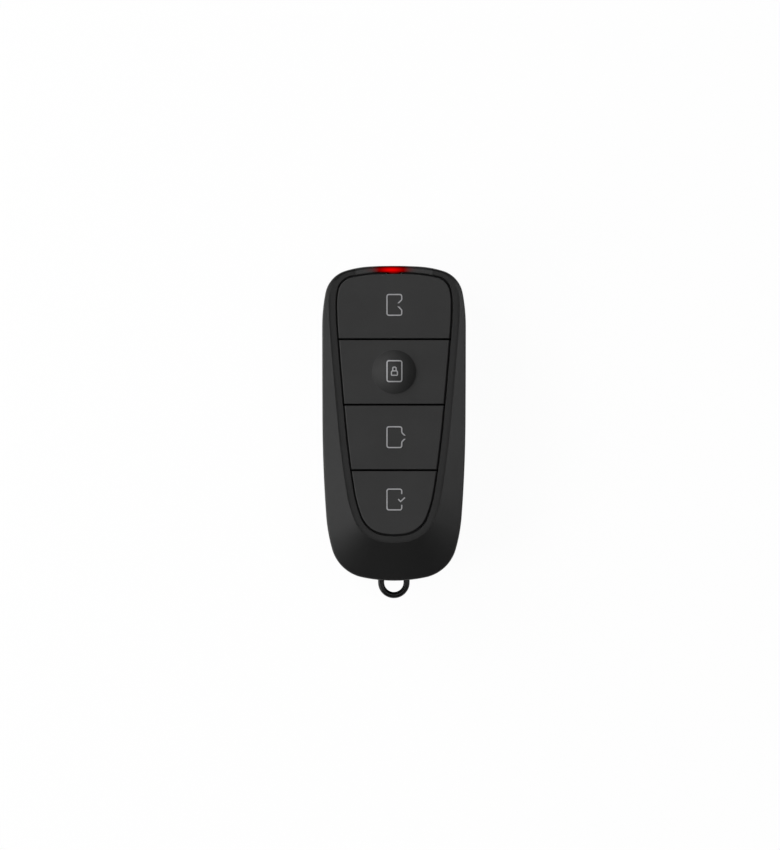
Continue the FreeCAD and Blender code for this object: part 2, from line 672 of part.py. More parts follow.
for name in key_names:
    y = "middle_" + name
    base = body_of("switch_base_" + name, y=y, z="board_bottom + board_thickness")
    pad(base, rectangle(sketch_on(base, "XY_Plane"), "switch_half", "switch_half"),
        "switch_height")
    well = lift(circle(sketch_on(base, "XY_Plane"), "switch_well"), "switch_floor")
    pocket(base, well, "switch_height")
    cover = body_of("switch_cover_" + name, y=y,
                    z="board_bottom + board_thickness + switch_height")
    pad(cover, rectangle(sketch_on(cover, "XY_Plane"), "switch_half", "switch_half"),
        "switch_cover")
    pocket(cover, circle(sketch_on(cover, "XY_Plane"), "plunger_radius + plunger_gap"),
           "switch_cover")
    foot_low = "switch_height - rest_gap - plunger_foot"
    foot_high = "switch_height - rest_gap"
    plunger = body_of("switch_plunger_" + name, y=y, z="board_bottom + board_thickness")
    turned(plunger, [("0", foot_low), ("plunger_flange", foot_low),
                     ("plunger_flange", foot_high), ("plunger_radius", foot_high),
                     ("plunger_radius", "plunger_height"), ("0", "plunger_height")])
    dome = body_of("switch_dome_" + name, y=y,
                   z="board_bottom + board_thickness + switch_floor")
    turned(dome, [("0", "snap_height - snap_thickness"),
                  ("plunger_radius", "snap_height - snap_thickness"),
                  ("snap_radius - snap_thickness", "0"), ("snap_radius", "0"),
                  ("snap_radius", "snap_thickness"), ("plunger_radius", "snap_height"),
                  ("0", "snap_height")])

# Signal lamp under the light guide's stalk

lamp = body_of("status_led", y="lamp_y", z="board_bottom + board_thickness")
pad(lamp, rectangle(sketch_on(lamp, "XY_Plane"), "lamp_half_length", "lamp_half_width"),
    "lamp_height")

# Coin cell under the board, negative face up, with its holder and contacts

cell = body_of("battery_cell", y="cell_y", z="board_bottom - contact_space - cell_height")
turned(cell, [("0", "0"), ("cell_radius", "0"), ("cell_radius", "cell_height - cell_step"),
              ("cell_cap_radius", "cell_height - cell_step"),
              ("cell_cap_radius", "cell_height"), ("0", "cell_height")])


def primitive(kind, name, sizes, x="0", y="0", z="0"):
    made = doc.addObject(kind, name)
    for size, text in sizes.items():
        made.setExpression(size, formula(text))
    for axis, text in zip("xyz", (x, y, z)):
        made.setExpression("Placement.Base." + axis, formula(text))
    return made


holder_z = "board_bottom - holder_height"
ring_out = primitive("Part::Cylinder", "holder_outside",
                     {"Radius": "cell_radius + holder_gap + holder_thickness",
                      "Height": "holder_height"}, y="cell_y", z=holder_z)
ring_in = primitive("Part::Cylinder", "holder_inside",
                    {"Radius": "cell_radius + holder_gap", "Height": "holder_height"},
                    y="cell_y", z=holder_z)
mouth = primitive("Part::Box", "holder_mouth_block",
                  {"Length": "holder_mouth + holder_mouth", "Width": "cell_radius",
                   "Height": "holder_height"},
                  x="- holder_mouth", y="cell_y - cell_radius - holder_mouth_start", z=holder_z)
ring = doc.addObject("Part::Cut", "holder_ring")
ring.Base = ring_out
ring.Tool = ring_in
holder = doc.addObject("Part::Cut", "battery_holder")
holder.Label = "battery_holder"
holder.Base = ring
holder.Tool = mouth
nodes.append(holder)

clip_inner = "cell_radius + holder_gap + holder_thickness + clip_gap"
clip_outer = clip_inner + " + clip_thickness"
clip_top = "clip_thickness + cell_height + contact_space"


def minus(text):
    return "- " + text.replace("+", "-")


clip = body_of("battery_positive_clip", y="cell_y",
               z="board_bottom - contact_space - cell_height - clip_thickness")
strap = polygon(sketch_on(clip, "XZ_Plane"), [
    (minus(clip_outer), "0"), (clip_outer, "0"), (clip_outer, clip_top),
    (clip_inner, clip_top), (clip_inner, "clip_thickness"),
    (minus(clip_inner), "clip_thickness"), (minus(clip_inner), clip_top),
    (minus(clip_outer), clip_top)])
pad(clip, strap, "clip_half_width + clip_half_width", "Symmetric")

leaf = body_of("battery_negative_contact", y="cell_y", z="board_bottom - contact_space")
plate = lift(rectangle(sketch_on(leaf, "XY_Plane"), "leaf_half_width", "leaf_half_length"),
             "contact_space - leaf_thickness")
pad(leaf, plate, "leaf_thickness")
pad(leaf, circle(sketch_on(leaf, "XY_Plane"), "dimple_radius"), "contact_space")

# Chips on the back of the board

def chip(name, x, y, length, width, height):
    made = body_of(name, x=x, y=y, z="board_bottom - " + height)
    pad(made, rectangle(sketch_on(made, "XY_Plane"), length, width), height)


chip("controller_chip", "- chip_x", "chip_y", "controller_half", "controller_half",
     "controller_height")
chip("radio_chip", "chip_x", "chip_y", "radio_half", "radio_half", "radio_height")
chip("crystal", "chip_x", "crystal_y", "crystal_half_length", "crystal_half_width",
     "crystal_height")
row_start = -(s.small_count - 1) / 2 * s.small_pitch
small_y = case_end + s.small_inset
blocks = []
for n in range(round(s.small_count)):
    x = row_start + n * s.small_pitch
    blocks.append(box((x - s.small_half_length, x + s.small_half_length),
                      (small_y - s.small_half_width, small_y + s.small_half_width),
                      (s.board_bottom - s.small_height, s.board_bottom)))
feature("chip_parts", Part.makeCompound(blocks))

# Screws

def screw(profile):
    """Turned screw from corners (radius, height above its head's face)."""
    corners = [Vector(r, 0, z) for r, z in profile]
    return Part.Face(Part.makePolygon(corners + corners[:1])).revolve(
        Vector(), Vector(0, 0, 1), 360)


def cross(reach, depth):
    half = s.screw_slot / 2
    return box((-reach, reach), (-half, half), (0, depth)).fuse(
        box((-half, half), (-reach, reach), (0, depth)))


case_screw = screw([(0, 0), (s.screw_head_radius, 0), (s.screw_radius, s.screw_head_height),
                    (s.screw_radius, s.screw_length), (0, s.screw_length)])
case_screw = case_screw.cut(cross(s.screw_head_radius * 0.6, s.screw_head_height * 0.6))
board_screw = screw([(0, 0), (s.board_screw_head, 0),
                     (s.board_screw_head, s.board_screw_head_height),
                     (s.board_screw_radius, s.board_screw_head_height),
                     (s.board_screw_radius, s.board_screw_length),
                     (0, s.board_screw_length)])
board_screw = board_screw.cut(cross(s.board_screw_head * 0.6, s.board_screw_head_height * 0.6))


def screws(name, form, places, low):
    moved = [form.translated(Vector(x, y, low)) for x, y in places]
    feature(name, Part.makeCompound(moved))


screws("case_screws", case_screw, case_screw_places, s.screw_sink)
screws("board_screws", board_screw, board_screw_places,
       s.board_bottom - s.board_screw_head_height)

# Checks, then one file for each sub-part

doc.recompute()
for item in doc.Objects:
    if "Invalid" in item.State or "Error" in item.State:
        raise RuntimeError(f"{item.Name} failed: {item.State}")
for node in nodes:
    if node.Shape.isNull() or not node.Shape.isValid():
        raise RuntimeError(f"{node.Label} has no valid shape")
os.makedirs("parts", exist_ok=True)
for node in nodes:
    node.Shape.exportStep(f"parts/{node.Label}.step")
print(len(nodes), "sub-parts written")
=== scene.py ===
"""Finishes, printed pictograms and studio of a four-key turnstile remote control.

The CAD nodes keep their shapes and get their materials here. The pictograms are modelled
here, laid on the keys and ride with them. Metres; the fob lies on its back, keys up (+Z),
signal lamp to +Y.
"""

import math

import bpy
from bpy.props import FloatProperty, FloatVectorProperty, PointerProperty
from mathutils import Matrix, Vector


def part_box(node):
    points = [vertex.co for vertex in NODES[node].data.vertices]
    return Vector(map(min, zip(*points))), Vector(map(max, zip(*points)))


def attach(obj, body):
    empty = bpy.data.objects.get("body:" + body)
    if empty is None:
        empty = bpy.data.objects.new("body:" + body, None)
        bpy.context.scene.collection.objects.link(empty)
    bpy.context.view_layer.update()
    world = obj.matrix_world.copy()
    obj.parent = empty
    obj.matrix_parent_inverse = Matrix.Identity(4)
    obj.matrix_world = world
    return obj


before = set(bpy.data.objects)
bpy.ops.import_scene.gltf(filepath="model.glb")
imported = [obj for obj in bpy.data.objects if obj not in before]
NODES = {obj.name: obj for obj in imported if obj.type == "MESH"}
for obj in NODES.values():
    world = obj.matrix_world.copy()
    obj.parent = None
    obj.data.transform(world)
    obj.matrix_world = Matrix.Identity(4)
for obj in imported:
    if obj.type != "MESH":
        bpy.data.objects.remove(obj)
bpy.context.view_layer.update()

bl_info = {
    "name": "Turnstile Remote",
    "version": (1, 0, 0),
    "blender": (4, 5, 0),
    "location": "View3D > Sidebar > Remote",
    "description": "Finishes, pictograms and studio for a four-key turnstile remote control",
    "category": "Object",
}

MM = 0.001
KEYS = ("entry", "lock", "exit", "confirm")

# How far each pictogram sits from its switch, to the right and towards the lamp end
MARK_X = 0.034 * MM
MARK_SHIFTS = {"entry": 0.30 * MM, "lock": 0.19 * MM, "exit": 0.07 * MM, "confirm": 0.73 * MM}

# Padlock and tick, from the middle of their card
PADLOCK_HALF = 0.82 * MM
PADLOCK_TOP = 0.19 * MM
PADLOCK_FOOT = -1.08 * MM
BOW_HALF = 0.52 * MM
BOW_TOP = 1.06 * MM
TICK_START, TICK_LOW, TICK_END = (0.90, 0.07), (1.43, -0.47), (2.42, 0.45)
TICK_OPENING = 1.25 * MM

# Share that is left at the reach of a glow
FADE = math.exp(-1.0)

# Soft panels round the fob: azimuth from +X and elevation in degrees, brightness (1 is white).
# The brightnesses, here and in the fill panels, weren't set by hand: a separate program fitted
# them by least squares to the photograph's brightness. report.md lists this as a deviation.
PANELS = {
    "left_back_low": (157.5, 15, 0.27),
    "left_back": (157.5, 30, 1.75),
    "left": (180, 30, 3.46),
    "left_front": (202.5, 30, 2.85),
    "left_front_high": (202.5, 45, 1.17),
    "front_left": (225, 45, 0.26),
    "front": (270, 45, 0.44),
    "front_right": (315, 45, 0.40),
    "right_front": (337.5, 45, 0.42),
    "right": (0, 45, 2.19),
    "right_back": (22.5, 45, 1.74),
    "back_right": (45, 45, 0.14),
    "above": (0, 90, 1.92),
}

# Panels that light the surfaces but show no reflection of themselves
FILL_PANELS = {
    "fill_back_left": (135, 15, 19.2),
    "fill_left_back": (157.5, 15, 5.3),
    "fill_left_front": (202.5, 15, 17.3),
    "fill_left_back_high": (157.5, 30, 1.6),
}


def middle(node):
    """Middle of a node's box."""
    low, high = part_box(node)
    return (low + high) / 2


# Shader maths: Python expressions on node sockets

class Socket:
    """Output of a shader node. Arithmetic on it adds Math nodes to its material."""

    def __init__(self, finish, output):
        self.finish = finish
        self.output = output

    def maths(self, operation, *values):
        sockets = dict(enumerate(values))
        return self.finish.add("ShaderNodeMath", {"operation": operation}, sockets)

    def __add__(self, other):
        return self.maths("ADD", self, other)

    def __radd__(self, other):
        return self.maths("ADD", other, self)

    def __sub__(self, other):
        return self.maths("SUBTRACT", self, other)

    def __rsub__(self, other):
        return self.maths("SUBTRACT", other, self)

    def __mul__(self, other):
        return self.maths("MULTIPLY", self, other)

    def __rmul__(self, other):
        return self.maths("MULTIPLY", other, self)

    def __truediv__(self, other):
        return self.maths("DIVIDE", self, other)

    def __pow__(self, other):
        return self.maths("POWER", self, other)

    def __rpow__(self, other):
        return self.maths("POWER", other, self)

    def __lt__(self, other):
        return self.maths("LESS_THAN", self, other)

    def __gt__(self, other):
        return self.maths("GREATER_THAN", self, other)

    def clamped(self, low=0.0, high=1.0):
        return self.maths("MINIMUM", self.maths("MAXIMUM", self, low), high)


class Finish:
    """A procedural material round one Principled shader."""

    def __init__(self, name, **constants):
        self.material = bpy.data.materials.new(name)
        self.material.use_nodes = True
        self.tree = self.material.node_tree
        self.shader = self.tree.nodes["Principled BSDF"]
        for socket, value in constants.items():
            self.set(socket.replace("_", " ").title().replace("Ior", "IOR"), value)
        self.place = self.add("ShaderNodeTexCoord", output="Object")

    def add(self, kind, settings=None, sockets=None, output=0):
        """Any node: its settings first, then the values or links of its sockets."""
        node = self.tree.nodes.new(kind)
        for name, value in (settings or {}).items():
            setattr(node, name, value)
        for name, value in (sockets or {}).items():
            self.feed(node.inputs[name], value)
        return Socket(self, node.outputs[output])

    def feed(self, socket, value):
        if isinstance(value, Socket):
            self.tree.links.new(value.output, socket)
        else:
            socket.default_value = value

    def set(self, socket, value):
        """Value or link of one of the shader's own sockets."""
        if socket.endswith("Color") and not isinstance(value, Socket):
            value = (*value[:3], 1.0)
        self.feed(self.shader.inputs[socket], value)

    def axes(self):
        """The three object coordinates."""
        split = self.add("ShaderNodeSeparateXYZ", sockets={0: self.place})
        outputs = split.output.node.outputs
        return [Socket(self, outputs[n]) for n in range(3)]

    def noise(self, spacing, detail=2.0, stretch=(1, 1, 1)):
        """Cloudy noise from 0 to 1 whose lumps are about `spacing` apart."""
        scaled = self.add("ShaderNodeMapping", {"vector_type": "POINT"},
                          {"Vector": self.place, "Scale": stretch})
        return self.add("ShaderNodeTexNoise", {"noise_dimensions": "3D"},
                        {"Vector": scaled, "Scale": 1 / spacing, "Detail": detail})

    def mix(self, factor, first, second):
        """Colour between two colours."""
        ends = [end if isinstance(end, Socket) else (*end[:3], 1.0) for end in (first, second)]
        return self.add("ShaderNodeMix", {"data_type": "RGBA"},
                        {0: factor, 6: ends[0], 7: ends[1]}, output=2)

    def bump(self, height, depth):
        raised = self.add("ShaderNodeBump", sockets={"Height": height, "Distance": depth})
        self.set("Normal", raised)

    def put_on(self, *objects):
        for item in objects:
            item.data.materials.clear()
            item.data.materials.append(self.material)


def shade(colour, factor):
    """The colour made darker or lighter."""
    return tuple(min(part * factor, 1.0) for part in colour[:3])


def moulded(name, colour, roughness, grain, depth, spread=0.12, **constants):
    """Injection-moulded plastic: fine spark-eroded grain, faint flow clouds."""
    made = Finish(name, **constants)
    clouds = made.noise(9 * MM, 3.0)
    made.set("Base Color", made.mix(clouds, shade(colour, 1 - spread), shade(colour, 1 + spread)))
    grains = made.noise(grain, 2.0)
    made.set("Roughness", (grains - 0.5) * 0.10 + (clouds - 0.5) * 0.06 + roughness)
    made.bump(grains, depth)
    return made


def metal(name, colour, roughness, grain, stretch=(1, 1, 1), depth=1.5e-6, tarnish=0.75):
    """Sheet or turned metal: drawn lines and a faint tarnish."""
    made = Finish(name, metallic=1.0)
    lines = made.noise(grain, 3.0, stretch)
    clouds = made.noise(3 * MM, 4.0)
    made.set("Base Color", made.mix(clouds, shade(colour, tarnish), colour))
    made.set("Roughness", (lines - 0.5) * 0.2 + (clouds - 0.5) * 0.1 + roughness)
    made.bump(lines, depth)
    return made


# Modelling helpers

def deselect():
    bpy.ops.object.select_all(action="DESELECT")


def pick(mesh, kind, test):
    """Selects the faces, edges or vertices in edit mode whose middle passes the test."""
    bpy.ops.mesh.select_all(action="DESELECT")
    bpy.ops.mesh.select_mode(type=kind)
    bpy.ops.object.mode_set(mode="OBJECT")
    corners = [vertex.co for vertex in mesh.vertices]
    if kind == "VERT":
        for vertex in mesh.vertices:
            vertex.select = test(vertex.co)
    else:
        parts = mesh.polygons if kind == "FACE" else mesh.edges
        for part in parts:
            points = [corners[n] for n in part.vertices]
            part.select = test(sum(points, Vector()) / len(points))
    bpy.ops.object.mode_set(mode="EDIT")


def apply_modifier(item, kind, **settings):
    """Adds a modifier to the active object and applies it."""
    made = item.modifiers.new(kind.title(), kind)
    for name, value in settings.items():
        setattr(made, name, value)
    bpy.ops.object.modifier_apply(modifier=made.name)


# Sizes and colours that a user may change

def length(name, description, default):
    return FloatProperty(name=name, description=description, default=default, min=0.0,
                         unit="LENGTH", precision=5)


def share(name, description, default):
    return FloatProperty(name=name, description=description, default=default, min=0.0,
                         max=1.0, subtype="FACTOR")


def colour(name, description, default):
    return FloatVectorProperty(name=name, description=description, default=default, size=3,
                               min=0.0, max=1.0, subtype="COLOR")


class RemoteFinish(bpy.types.PropertyGroup):
    """Colours and surface of the plastic parts."""

    case_colour: colour("Case", "Colour of the two shells", (0.0036, 0.0036, 0.0036))
    case_roughness: share("Case roughness", "Roughness of the two shells", 0.42)
    key_colour: colour("Keys", "Colour of the four keys", (0.0398, 0.0398, 0.0398))
    # Painted shade: the dome's colour darkens towards its foot and comes back to the plain key
    # colour at its top
    dome_painted_shade: share("Dome foot", "Colour at the dome's foot against its top", 0.62)
    key_roughness: share("Key roughness", "Roughness of the four keys", 0.5)
    grain: length("Grain", "Spacing of the moulded grain", 0.22 * MM)
    grain_depth: length("Grain depth", "Height of the moulded grain", 0.006 * MM)


class RemoteMarks(bpy.types.PropertyGroup):
    """Pictograms printed on the keys."""

    width: length("Width", "Width of a card outline over its line", 3.67 * MM)
    height: length("Height", "Height of a card outline over its line", 5.05 * MM)
    line: length("Line", "Width of the printed line", 0.275 * MM)
    corner: length("Corner", "Outer corner radius of a card outline", 0.58 * MM)
    bend: length("Bend", "How far the bent side of a card turns in or out", 1.12 * MM)
    gap: length("Gap", "Half of the gap in the bend's tip", 0.37 * MM)
    bend_round: length("Bend rounding", "How far a bend is rounded off", 0.2 * MM)
    proud: length("Proud", "Height of the print above the key", 0.03 * MM)
    ink: colour("Ink", "Colour of the print", (0.33, 0.33, 0.34))


class RemoteLamp(bpy.types.PropertyGroup):
    """Glow of the signal lamp in the light guide."""

    glow: colour("Glow", "Colour of the glow at its middle", (0.86, 0.0, 0.0))
    offset: FloatProperty(name="Offset", description="Glow's middle from the middle plane",
                          default=-0.66 * MM, unit="LENGTH", precision=5)
    from_top: length("From top", "Lamp end of the case to the glow's middle", 0.90 * MM)
    reach: length("Reach", "Half width at which the glow fades to a third", 2.54 * MM)
    depth: length("Depth", "Half depth at which the glow fades to a third", 0.50 * MM)
    ledge: length("Ledge", "Lamp end of the case to the window's inner edge", 1.50 * MM)
    top_edge: length("Top edge", "Depth at which the top face turns into the end wall", 1.1 * MM)
    wall_glow: length("Wall glow", "Depth of the glow's middle on the end wall", 1.9 * MM)
    wall_depth: length("Wall depth", "Half depth at which the wall's glow fades to a third",
                       0.9 * MM)
    wall_share: share("Wall share", "Glow of the end wall against the top face", 0.55)
    pipe: length("Pipe", "Half width of the lit light pipe behind the window", 1.3 * MM)
    clear: FloatProperty(name="Clear", default=0.18, min=0.0,
                         description="How fast the window's own sheen comes back beside the glow")


class RemoteStudio(bpy.types.PropertyGroup):
    """Camera and light."""

    lens: FloatProperty(name="Lens", description="Focal length in millimetres", default=600.0)
    frame_height: length("Frame height", "Height that the picture covers", 195.76 * MM)
    lean: FloatProperty(name="Lean", default=-0.7,
                        description="How far the camera stands to the right, in degrees")
    aim_x: FloatProperty(name="Aim X", description="Picture's middle", default=-0.933 * MM,
                         unit="LENGTH", precision=5)
    aim_y: FloatProperty(name="Aim Y", description="Picture's middle", default=1.659 * MM,
                         unit="LENGTH", precision=5)
    light: FloatProperty(name="Light", description="Factor on every panel", default=1.0)
    panel: length("Panel", "Side of a soft panel", 0.44)
    distance: length("Distance", "From the fob to the soft panels", 1.2)
    sight: length("Sight", "Height at which the picture covers the frame height",
                  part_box("top_shell")[1].z * 0.75)
    floor_radius: length("Floor radius", "Radius of the round floor", 1.6)
    floor_wall: length("Floor wall", "Height of the floor's edge", 0.35)
    floor_white: share("Floor white", "How much of the floor shows plain white", 0.96)


# Case, keys and loop

class FinishCase(bpy.types.Operator):
    """Satin black plastic for the top and rear shells"""

    bl_idname = "remote.finish_case"
    bl_label = "Finish Case"

    def execute(self, context):
        chosen = context.scene.remote_finish
        plastic = moulded("case_plastic", chosen.case_colour, chosen.case_roughness,
                          chosen.grain, chosen.grain_depth, specular_ior_level=0.5)
        plastic.put_on(NODES["top_shell"], NODES["rear_shell"])
        return {"FINISHED"}


class FinishKeys(bpy.types.Operator):
    """Matt, slightly lighter plastic for the four keys, with painted shade on the dome"""

    bl_idname = "remote.finish_keys"
    bl_label = "Finish Keys"

    def execute(self, context):
        chosen = context.scene.remote_finish
        plastic = moulded("key_plastic", chosen.key_colour, chosen.key_roughness,
                          chosen.grain, chosen.grain_depth, specular_ior_level=0.05)
        x, y, z = plastic.axes()
        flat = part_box("key_entry")[1].z
        # Painted shade on the dome: darker towards its foot, the plain key colour at its top
        raised = ((z - flat) / (0.05 * MM)).clamped()
        height = ((z - flat) / (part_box("key_lock")[1].z - flat)).clamped()
        plain = Socket(plastic, plastic.shader.inputs["Base Color"].links[0].from_socket)
        foot = plastic.mix(1 - chosen.dome_painted_shade, plain, (0, 0, 0))
        plastic.set("Base Color", plastic.mix(raised * (1 - height), plain, foot))
        plastic.put_on(*(NODES["key_" + name] for name in KEYS))
        return {"FINISHED"}


class FinishLoop(bpy.types.Operator):
    """Gloss black enamel for the keyring loop"""

    bl_idname = "remote.finish_loop"
    bl_label = "Finish Keyring Loop"

    def execute(self, context):
        enamel = Finish("loop_enamel", specular_ior_level=0.25)
        clouds = enamel.noise(1.2 * MM, 3.0)
        enamel.set("Base Color", enamel.mix(clouds, (0.002,) * 3, (0.004,) * 3))
        enamel.set("Roughness", clouds * 0.12 + 0.2)
        enamel.bump(clouds, 4e-6)
        enamel.put_on(NODES["keyring_loop"])
        return {"FINISHED"}


class FinishScrews(bpy.types.Operator):
    """Black zinc for the case screws, bright zinc for the board screws"""

    bl_idname = "remote.finish_screws"
    bl_label = "Finish Screws"

    def execute(self, context):
        black = metal("black_zinc", (0.035, 0.035, 0.04), 0.38, 0.15 * MM)
        black.put_on(NODES["case_screws"])
        bright = metal("bright_zinc", (0.62, 0.63, 0.66), 0.3, 0.15 * MM)
        bright.put_on(NODES["board_screws"])
        return {"FINISHED"}


# Light guide with the lamp's glow

class FinishLightGuide(bpy.types.Operator):
    """Smoked window that glows red over the signal lamp"""

    bl_idname = "remote.finish_light_guide"
    bl_label = "Finish Light Guide"

    def execute(self, context):
        lamp = context.scene.remote_lamp
        finish = context.scene.remote_finish
        window = Finish("smoked_window", emission_strength=1.0)
        x, y, z = window.axes()
        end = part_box("light_guide")[1]
        across = ((x - lamp.offset) / lamp.reach) ** 2
        along = ((y - (end.y - lamp.from_top)) / lamp.depth) ** 2
        down = ((z - (end.z - lamp.wall_glow)) / lamp.wall_depth) ** 2
        on_top = ((z - (end.z - lamp.top_edge)) / (0.3 * MM)).clamped()
        in_window = ((y - (end.y - lamp.ledge)) / (0.1 * MM)).clamped()
        pipe = (1.15 - (x / lamp.pipe) ** 2).clamped()
        clouds = window.noise(1.5 * MM, 2.0)
        above = FADE ** (across + along)
        wall = FADE ** (across * 1.5 + down) * lamp.wall_share
        outside = (above * on_top + wall * (1 - on_top)) * in_window
        glow = (outside + above * pipe * (1 - in_window)) * (clouds * 0.06 + 0.97)
        window.set("Base Color", window.mix(clouds, (0.012,) * 3, (0.018,) * 3))
        window.set("Roughness", clouds * 0.08 + 0.34)
        red = window.mix(glow, (0, 0, 0), lamp.glow)
        window.set("Emission Color", red)
        window.bump(window.noise(finish.grain), finish.grain_depth * 0.3)
        lit = window.add("ShaderNodeBsdfPrincipled", sockets={
            "Base Color": (0, 0, 0, 1), "Specular IOR Level": 0.0, "Emission Color": red,
            "Emission Strength": 1.0})
        clear = (FADE ** (across * across * lamp.clear) * 1.3).clamped()
        clear = clear * (on_top + 1 - in_window).clamped()
        surface = Socket(window, window.shader.outputs[0])
        blend = window.add("ShaderNodeMixShader", sockets={0: clear, 1: surface, 2: lit})
        window.feed(window.tree.nodes["Material Output"].inputs["Surface"], blend)
        window.put_on(NODES["light_guide"])
        lens = Finish("lamp_lens", emission_strength=1.0, coat_weight=1.0)
        depth = lens.noise(0.3 * MM)
        lens.set("Base Color", lens.mix(depth, (0.5, 0.03, 0.02), (0.7, 0.06, 0.03)))
        lens.set("Emission Color", lens.mix(depth, (0.8, 0, 0), (1.0, 0.02, 0.0)))
        lens.set("Roughness", depth * 0.1 + 0.15)
        lens.put_on(NODES["status_led"])
        return {"FINISHED"}


# Printed pictograms

def begin(points):
    """Flat face in edit mode whose corners are the points, in metres from the mark's middle."""
    deselect()
    bpy.ops.mesh.primitive_circle_add(vertices=len(points), radius=MM, fill_type="NGON")
    face = bpy.context.object
    bpy.ops.object.mode_set(mode="EDIT")
    starts = [vertex.co.copy() for vertex in face.data.vertices]
    for start, point in zip(starts, points):
        pick(face.data, "VERT", lambda place, start=start: (place - start).length < 1e-9)
        bpy.ops.transform.translate(value=Vector((*point, 0)) - start)
    return face


def round_corners(face, test, radius, segments=6):
    """Rounds the corners that pass the test."""
    pick(face.data, "VERT", test)
    bpy.ops.mesh.bevel(offset=radius, segments=segments, affect="VERTICES")


def hollow(line):
    """Leaves a line of constant width along the outline of the face."""
    bpy.ops.mesh.select_all(action="SELECT")
    bpy.ops.mesh.inset(thickness=line, use_boundary=True, use_even_offset=True)
    bpy.ops.mesh.delete(type="FACE")


def open_up(face, half):
    """Breaks the line on the right side where it is nearer to the middle than `half`."""
    for y, way in ((half, 1), (-half, -1)):
        pick(face.data, "FACE", lambda place: place.x > 0)
        bpy.ops.mesh.bisect(plane_co=(0, y, 0), plane_no=(0, way, 0))
    pick(face.data, "FACE", lambda place: place.x > 0 and abs(place.y) < half)
    bpy.ops.mesh.delete(type="FACE")


def lay_on(face, name, key, marks):
    """Cuts the flat mark fine, drops it on the key and gives it its thickness."""
    bpy.ops.mesh.select_mode(type="FACE")
    steps = 14
    for n in range(1, steps):
        for size, axis in ((marks.width * 1.4, 0), (marks.height, 1)):
            place = [0.0, 0.0, 0.0]
            place[axis] = (n / steps - 0.5) * size
            normal = [0.0, 0.0, 0.0]
            normal[axis] = 1.0
            bpy.ops.mesh.select_all(action="SELECT")
            bpy.ops.mesh.bisect(plane_co=place, plane_no=normal)
    bpy.ops.mesh.select_all(action="SELECT")
    bpy.ops.mesh.quads_convert_to_tris()
    place = middle("switch_base_" + key)
    place += Vector((MARK_X, MARK_SHIFTS[key], 0))
    place.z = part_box("key_" + key)[1].z + MM
    bpy.ops.transform.translate(value=place)
    bpy.ops.object.mode_set(mode="OBJECT")
    face.name = face.data.name = name
    apply_modifier(face, "SHRINKWRAP", target=NODES["key_" + key], wrap_method="PROJECT",
                   use_project_z=True, use_positive_direction=False,
                   use_negative_direction=True)
    apply_modifier(face, "SOLIDIFY", thickness=2 * marks.proud, offset=0.0)
    return face


def join(first, second):
    """One object in edit mode out of two."""
    bpy.ops.object.mode_set(mode="OBJECT")
    deselect()
    first.select_set(True)
    second.select_set(True)
    bpy.context.view_layer.objects.active = first
    bpy.ops.object.join()
    bpy.ops.object.mode_set(mode="EDIT")
    return first


def card(marks):
    """Rounded card outline before its line is made."""
    x, y = marks.width / 2, marks.height / 2
    face = begin([(-x, y), (-x, -y), (x, -y), (x, y)])
    round_corners(face, lambda place: True, marks.corner)
    return face


class PrintMarks(bpy.types.Operator):
    """Line pictograms of a card passing the gate, one on each key"""

    bl_idname = "remote.print_marks"
    bl_label = "Print Pictograms"

    def execute(self, context):
        marks = context.scene.remote_marks
        ink = Finish("pictogram_ink", specular_ior_level=0.3)
        speck = ink.noise(0.12 * MM, 2.0)
        ink.set("Base Color", ink.mix(speck, shade(marks.ink, 0.9), shade(marks.ink, 1.08)))
        ink.set("Roughness", speck * 0.15 + 0.5)
        ink.bump(speck, 3e-6)
        drawn = {"entry": self.entry, "lock": self.lock, "exit": self.exit,
                 "confirm": self.confirm}
        for name in KEYS:
            mark = lay_on(drawn[name](marks), "mark_" + name, name, marks)
            ink.put_on(mark)
            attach(mark, name + "_key")
        return {"FINISHED"}

    def entry(self, marks):
        return self.notched(marks, -1)

    def exit(self, marks):
        return self.notched(marks, 1)

    def notched(self, marks, way):
        """Card whose right side bends in (-1) or out (1), with a gap at the bend's tip."""
        x, y = marks.width / 2, marks.height / 2
        tip = x + way * marks.bend
        half = marks.bend * 1.01
        face = begin([(-x, y), (-x, -y), (x, -y), (x, -half), (tip, 0), (x, half), (x, y)])
        round_corners(face, lambda place: abs(place.y) > half + 1e-6, marks.corner)
        round_corners(face, lambda place: abs(abs(place.y) - half) < 1e-6,
                      marks.bend_round, 3)
        hollow(marks.line)
        open_up(face, marks.gap)
        return face

    def lock(self, marks):
        """Whole card round a padlock."""
        outside = card(marks)
        hollow(marks.line)
        bpy.ops.object.mode_set(mode="OBJECT")
        line = marks.line * 0.95
        x, high, low = PADLOCK_HALF, PADLOCK_TOP, PADLOCK_FOOT
        body = begin([(-x, high), (-x, low), (x, low), (x, high)])
        round_corners(body, lambda place: place.y < 0, 0.30 * MM, 4)
        round_corners(body, lambda place: place.y > high - 1e-6, 0.44 * MM, 4)
        hollow(line)
        bpy.ops.object.mode_set(mode="OBJECT")
        x, top = BOW_HALF, BOW_TOP
        bow = begin([(-x, top), (-x, low), (x, low), (x, top)])
        round_corners(bow, lambda place: place.y > 0, 0.45 * MM, 6)
        hollow(line)
        bpy.ops.mesh.select_all(action="SELECT")
        bpy.ops.mesh.bisect(plane_co=(0, high, 0), plane_no=(0, 1, 0), clear_inner=True)
        return join(join(outside, body), bow)

    def confirm(self, marks):
        """Card open on its right side, with a tick in the opening."""
        outside = card(marks)
        hollow(marks.line)
        open_up(outside, TICK_OPENING)
        bpy.ops.object.mode_set(mode="OBJECT")
        half = marks.line * 0.5
        start, low, end = (Vector(point) * MM for point in (TICK_START, TICK_LOW, TICK_END))
        down, up = (low - start).normalized(), (end - low).normalized()
        below, above = (Vector((-way.y, way.x)) * half for way in (down, up))
        turn = (below + above).normalized()
        mitre = turn * (half * half / turn.dot(below))
        tick = begin([start + below, start - below, low - mitre, end - above, end + above,
                      low + mitre])
        return join(outside, tick)


